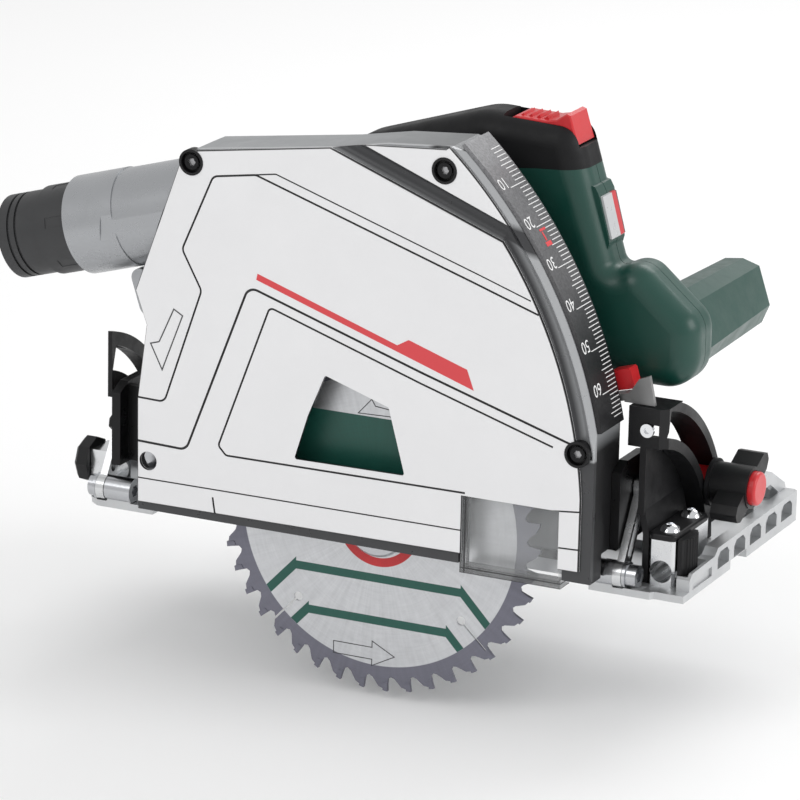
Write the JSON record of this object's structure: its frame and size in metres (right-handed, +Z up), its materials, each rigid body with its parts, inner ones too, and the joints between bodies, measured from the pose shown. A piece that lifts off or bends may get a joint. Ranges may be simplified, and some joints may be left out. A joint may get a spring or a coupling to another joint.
{
  "type": "track plunge saw",
  "caption": "Cordless track plunge saw: toothed disc blade in a closed guard, hinged motor and D handle, bevelling base plate with a rail groove.",
  "frame": {"origin": "where the blade's middle plane meets the sole plane, right below the arbor at full plunge, on the cut line", "axes": "+X is the cutting direction, +Y points from the blade to the motor, +Z is up from the sole"},
  "size_m": [0.362, 0.1805, 0.2771],
  "materials": {
    "base_metal": "satin cast, machined sole",
    "bright_metal": "bright machined",
    "steel": "turned",
    "chrome": "polished",
    "blade_steel": "ground",
    "cover_white": "satin",
    "rim_grey": "satin",
    "case_grey": "satin",
    "scale_black": "printed",
    "black_plastic": "fine texture",
    "green_plastic": "fine texture",
    "soft_black": "soft grip",
    "red_plastic": "semi-gloss",
    "clear_plastic": "clear, polished",
    "duct_silver": "satin",
    "copper_core": "laminated"
  },
  "bodies": {
    "base": {"base_plate": "base_metal", "arm_pivot_pins": "steel", "front_quadrant": "black_plastic", "rear_quadrant": "black_plastic", "quadrant_screw": "chrome", "rod_clamp_blocks": "bright_metal", "rod_clamp_cap": "black_plastic", "rod_clamp_screws": "chrome"},
    "front_rod_knob": {"front_rod_knob": "black_plastic"},
    "rear_rod_knob": {"rear_rod_knob": "black_plastic"},
    "front_rail_adjuster": {"front_rail_adjuster": "black_plastic"},
    "rear_rail_adjuster": {"rear_rail_adjuster": "black_plastic"},
    "bevel_arms": {"front_bevel_arm": "bright_metal", "rear_bevel_arm": "bright_metal"},
    "tilt_frame": {"front_tilt_plate": "steel", "rear_tilt_plate": "steel", "bevel_bolts": "steel", "bevel_shoes": "red_plastic", "guard_case": "case_grey", "guard_rim": "rim_grey", "guard_cover": "cover_white", "corner_panel": "cover_white", "screw_wells": "black_plastic", "cover_screws": "steel", "depth_scale": "scale_black", "plunge_shaft": "steel", "return_spring": "steel", "dust_duct": "duct_silver"},
    "front_bevel_knob": {"front_bevel_knob": "black_plastic"},
    "undercut_button": {"undercut_button": "red_plastic"},
    "rear_bevel_knob": {"rear_bevel_knob": "black_plastic"},
    "chip_guard": {"chip_guard": "clear_plastic"},
    "bayonet_ring": {"bayonet_ring": "black_plastic"},
    "dust_nozzle": {"dust_nozzle": "black_plastic"},
    "depth_stop": {"depth_stop": "bright_metal"},
    "depth_stop_button": {"depth_stop_button": "red_plastic"},
    "saw_unit": {"gearbox_case": "case_grey", "gear_plate": "case_grey", "motor_flange": "case_grey", "motor_housing": "green_plastic", "motor_end_cap": "black_plastic", "motor_stator": "copper_core", "arbor_bearing": "steel", "shaft_bearings": "steel", "layshaft_bearings": "steel", "handle_shell_near": "green_plastic", "handle_shell_far": "green_plastic", "grip_cover": "soft_black", "badge_plate": "red_plastic"},
    "blade_spindle": {"arbor": "steel", "saw_blade": "blade_steel", "blade_flanges": "steel", "blade_bolt": "steel"},
    "layshaft": {"layshaft": "steel"},
    "rotor": {"motor_rotor": "steel", "cooling_fan": "black_plastic"},
    "lock_off_slider": {"lock_off_slider": "red_plastic"},
    "trigger": {"trigger": "black_plastic"},
    "battery": {"battery_pack": "black_plastic"},
    "battery_latch": {"battery_latch": "red_plastic"}
  },
  "joints": [
    {"name": "front_rod_clamp", "type": "hinge", "parent": "base", "child": "front_rod_knob", "pos_m": [0.146, 0.024, 0.018], "axis": [1, 0, 0], "range_deg": [-180, 180]},
    {"name": "rear_rod_clamp", "type": "hinge", "parent": "base", "child": "rear_rod_knob", "pos_m": [-0.163, 0.02, 0.017], "axis": [-1, 0, 0], "range_deg": [-180, 180]},
    {"name": "front_rail_play", "type": "hinge", "parent": "base", "child": "front_rail_adjuster", "pos_m": [0.07, 0.053, 0.009], "axis": [0, 0, 1], "range_deg": [-90, 0]},
    {"name": "rear_rail_play", "type": "hinge", "parent": "base", "child": "rear_rail_adjuster", "pos_m": [-0.07, 0.053, 0.009], "axis": [0, 0, 1], "range_deg": [0, 90]},
    {"name": "bevel", "type": "hinge", "parent": "base", "child": "tilt_frame", "pos_m": [0, 0, 0], "axis": [1, 0, 0], "range_deg": [0, 46]},
    {"name": "arm_swing", "type": "hinge", "parent": "base", "child": "bevel_arms", "pos_m": [0, 0.0065, 0.009], "axis": [1, 0, 0], "range_deg": [0, 56.8]},
    {"name": "front_bevel_clamp", "type": "hinge", "parent": "tilt_frame", "child": "front_bevel_knob", "pos_m": [0.145, 0.072, 0.03764], "axis": [1, 0, 0], "range_deg": [-60, 0]},
    {"name": "undercut_release", "type": "slide", "parent": "front_bevel_knob", "child": "undercut_button", "axis": [-1, 0, 0], "range_m": [0, 0.003], "stiffness_N_per_m": 600},
    {"name": "rear_bevel_clamp", "type": "hinge", "parent": "tilt_frame", "child": "rear_bevel_knob", "pos_m": [-0.165, 0.06578, 0.02928], "axis": [1, 0, 0], "range_deg": [-60, 0]},
    {"name": "chip_guard_lift", "type": "slide", "parent": "tilt_frame", "child": "chip_guard", "axis": [0, 0, 1], "range_m": [0, 0.02]},
    {"name": "duct_bayonet", "type": "hinge", "parent": "tilt_frame", "child": "bayonet_ring", "pos_m": [-0.156, 0.008, 0.1375], "axis": [-0.9613, 0, -0.2756], "range_deg": [0, 45]},
    {"name": "nozzle_swivel", "type": "hinge", "parent": "bayonet_ring", "child": "dust_nozzle", "pos_m": [-0.17523, 0.008, 0.13199], "axis": [-0.9613, 0, -0.2756], "continuous": true},
    {"name": "depth_setting", "type": "hinge", "parent": "tilt_frame", "child": "depth_stop", "pos_m": [-0.1139, 0.03, 0.0328], "axis": [0, -1, 0], "range_deg": [0, 33.7]},
    {"name": "depth_release", "type": "slide", "parent": "depth_stop", "child": "depth_stop_button", "axis": [-0.962, 0, -0.2731], "range_m": [0, 0.0025], "stiffness_N_per_m": 600},
    {"name": "plunge", "type": "hinge", "parent": "tilt_frame", "child": "saw_unit", "pos_m": [-0.1139, 0.03, 0.0328], "axis": [0, -1, 0], "range_deg": [0, 34.8]},
    {"name": "blade_spin", "type": "hinge", "parent": "saw_unit", "child": "blade_spindle", "pos_m": [0, 0.01, 0.0165], "axis": [0, -1, 0], "continuous": true},
    {"name": "layshaft_spin", "type": "hinge", "parent": "saw_unit", "child": "layshaft", "pos_m": [0, 0.04, 0.039], "axis": [0, -1, 0], "continuous": true},
    {"name": "rotor_spin", "type": "hinge", "parent": "saw_unit", "child": "rotor", "pos_m": [0, 0.09, 0.061], "axis": [0, -1, 0], "continuous": true},
    {"name": "lock_off", "type": "slide", "parent": "saw_unit", "child": "lock_off_slider", "axis": [1, 0, 0], "range_m": [0, 0.005], "stiffness_N_per_m": 600},
    {"name": "trigger_press", "type": "slide", "parent": "saw_unit", "child": "trigger", "axis": [0, 0, 1], "range_m": [0, 0.005], "stiffness_N_per_m": 600},
    {"name": "battery_slide", "type": "slide", "parent": "saw_unit", "child": "battery", "axis": [-1, 0, 0], "range_m": [0, 0.08]},
    {"name": "battery_release", "type": "slide", "parent": "battery", "child": "battery_latch", "axis": [0, -1, 0], "range_m": [0, 0.002], "stiffness_N_per_m": 600}
  ],
  "couplings": [
    {"joint": "arm_swing", "follows": "bevel", "ratio": 1.2315},
    {"joint": "layshaft_spin", "follows": "blade_spin", "ratio": -1.25},
    {"joint": "rotor_spin", "follows": "blade_spin", "ratio": 3.75}
  ]
}
